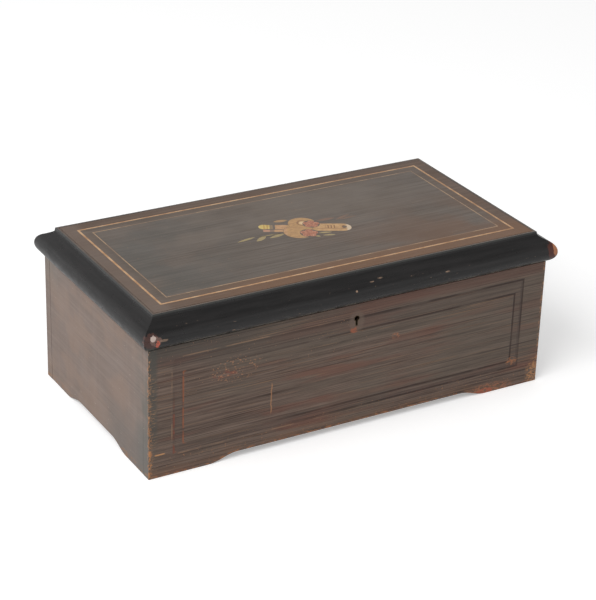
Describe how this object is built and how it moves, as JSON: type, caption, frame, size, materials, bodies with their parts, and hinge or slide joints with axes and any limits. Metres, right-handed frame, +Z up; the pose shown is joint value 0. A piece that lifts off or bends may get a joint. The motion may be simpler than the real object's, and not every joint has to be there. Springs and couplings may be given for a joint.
{
  "type": "music box",
  "caption": "Wind up cylinder music box: footed wooden case, inlaid lid with dark moulding, pinned cylinder, comb, spring barrel and air brake.",
  "frame": {"origin": "centre of the box's footprint, on the surface it stands on", "axes": "+X runs along the front to the right, +Y points to the hinged back, +Z is up"},
  "size_m": [0.414, 0.226, 0.15],
  "materials": {
    "case_veneer": "satin varnish over grained rosewood veneer",
    "end_veneer": "satin varnish, faded",
    "ebonised_wood": "gloss black polish",
    "lid_veneer": "satin varnish over rosewood veneer",
    "boxwood": "satin varnish",
    "tinted_wood": "satin varnish",
    "pale_wood": "plain planed wood",
    "card": "matt aged card",
    "brass": "satin lacquered",
    "steel": "bright brushed",
    "blued_steel": "blued",
    "spring_steel": "oiled spring steel",
    "lead": "dull grey",
    "glass": "clear"
  },
  "bodies": {
    "case": {"front_panel": "case_veneer", "back_panel": "case_veneer", "left_side_panel": "end_veneer", "right_side_panel": "end_veneer", "bottom_board": "pale_wood", "left_partition": "case_veneer", "right_partition": "case_veneer", "lock_case": "brass", "case_hinge_leaves": "brass", "case_hinge_screws": "brass", "hinge_pins": "steel", "glass_hinge_brackets": "brass", "bedplate": "brass", "bedplate_rails": "pale_wood", "bedplate_screws": "steel", "bearing_brackets": "brass", "comb_base": "brass", "comb": "steel", "comb_screws": "blued_steel", "bass_weights": "lead", "governor_frame": "brass", "control_bracket": "brass"},
    "lid": {"lid_panel": "lid_veneer", "lid_front_moulding": "ebonised_wood", "lid_back_moulding": "ebonised_wood", "lid_left_moulding": "ebonised_wood", "lid_right_moulding": "ebonised_wood", "boxwood_strings": "boxwood", "marquetry_instruments": "boxwood", "marquetry_flower": "tinted_wood", "marquetry_leaves": "boxwood", "tune_card": "card", "tune_card_tacks": "brass", "lock_strike": "brass", "lid_hinge_leaves": "brass", "lid_hinge_screws": "brass"},
    "glass_lid": {"glass_lid_frame": "case_veneer", "glass_pane": "glass", "glass_lid_knob": "brass", "glass_lid_hinges": "brass"},
    "lock_bolt": {"lock_bolt": "steel"},
    "cylinder": {"cylinder_tube": "brass", "tune_pins": "steel", "cylinder_arbor": "steel", "cylinder_great_wheel": "brass"},
    "barrel": {"spring_barrel": "brass", "barrel_great_wheel": "brass", "mainspring": "spring_steel"},
    "winding_arbor": {"winding_arbor": "steel", "ratchet_wheel": "brass"},
    "winding_lever": {"winding_lever": "steel", "lever_grip": "ebonised_wood"},
    "drive_pawl": {"drive_pawl": "steel"},
    "winding_click": {"winding_click": "steel"},
    "second_wheel": {"second_wheel": "brass"},
    "screw_wheel": {"screw_wheel": "brass"},
    "endless_screw": {"endless_screw": "steel", "air_brake": "brass"},
    "start_lever": {"start_lever": "steel"},
    "change_lever": {"change_lever": "steel"}
  },
  "joints": [
    {"name": "lid_hinge", "type": "hinge", "parent": "case", "child": "lid", "pos_m": [0, 0.1093, 0.122], "axis": [-1, 0, 0], "range_deg": [0, 95]},
    {"name": "glass_lid_hinge", "type": "hinge", "parent": "case", "child": "glass_lid", "pos_m": [0, 0.094, 0.114], "axis": [-1, 0, 0], "range_deg": [0, 80.75]},
    {"name": "lock_bolt_slide", "type": "slide", "parent": "case", "child": "lock_bolt", "axis": [1, 0, 0], "range_m": [0, 0.004]},
    {"name": "cylinder_spin", "type": "hinge", "parent": "case", "child": "cylinder", "pos_m": [0, 0.008, 0.066], "axis": [1, 0, 0], "continuous": true},
    {"name": "barrel_spin", "type": "hinge", "parent": "case", "child": "barrel", "pos_m": [0, 0.0422, 0.066], "axis": [1, 0, 0], "continuous": true},
    {"name": "winding_lever_swing", "type": "hinge", "parent": "case", "child": "winding_lever", "pos_m": [0, 0.0422, 0.066], "axis": [-1, 0, 0], "range_deg": [0, 60]},
    {"name": "winding_arbor_turn", "type": "hinge", "parent": "case", "child": "winding_arbor", "pos_m": [0, 0.0422, 0.066], "axis": [-1, 0, 0], "range_deg": [0, 60]},
    {"name": "drive_pawl_lift", "type": "hinge", "parent": "winding_lever", "child": "drive_pawl", "pos_m": [0, 0.01872, 0.07099], "axis": [1, 0, 0], "range_deg": [0, 12]},
    {"name": "winding_click_lift", "type": "hinge", "parent": "case", "child": "winding_click", "pos_m": [0, 0.0248, 0.04668], "axis": [1, 0, 0], "range_deg": [0, 12]},
    {"name": "second_wheel_spin", "type": "hinge", "parent": "case", "child": "second_wheel", "pos_m": [0, 0.03206, 0.05374], "axis": [1, 0, 0], "continuous": true},
    {"name": "screw_wheel_spin", "type": "hinge", "parent": "case", "child": "screw_wheel", "pos_m": [0, 0.04615, 0.04861], "axis": [1, 0, 0], "continuous": true},
    {"name": "endless_screw_spin", "type": "hinge", "parent": "case", "child": "endless_screw", "pos_m": [0.12, 0.05735, 0], "axis": [0, 0, 1], "continuous": true},
    {"name": "start_lever_throw", "type": "hinge", "parent": "case", "child": "start_lever", "pos_m": [0, -0.03, 0.068], "axis": [-1, 0, 0], "range_deg": [-14, 14]},
    {"name": "change_lever_throw", "type": "hinge", "parent": "case", "child": "change_lever", "pos_m": [0, -0.03, 0.068], "axis": [-1, 0, 0], "range_deg": [-14, 14]}
  ],
  "couplings": [
    {"joint": "glass_lid_hinge", "follows": "lid_hinge", "ratio": 0.85},
    {"joint": "barrel_spin", "follows": "cylinder_spin", "ratio": -0.1875},
    {"joint": "second_wheel_spin", "follows": "cylinder_spin", "ratio": -8},
    {"joint": "screw_wheel_spin", "follows": "cylinder_spin", "ratio": 40},
    {"joint": "endless_screw_spin", "follows": "cylinder_spin", "ratio": -1200},
    {"joint": "winding_arbor_turn", "follows": "winding_lever_swing", "ratio": 1}
  ]
}
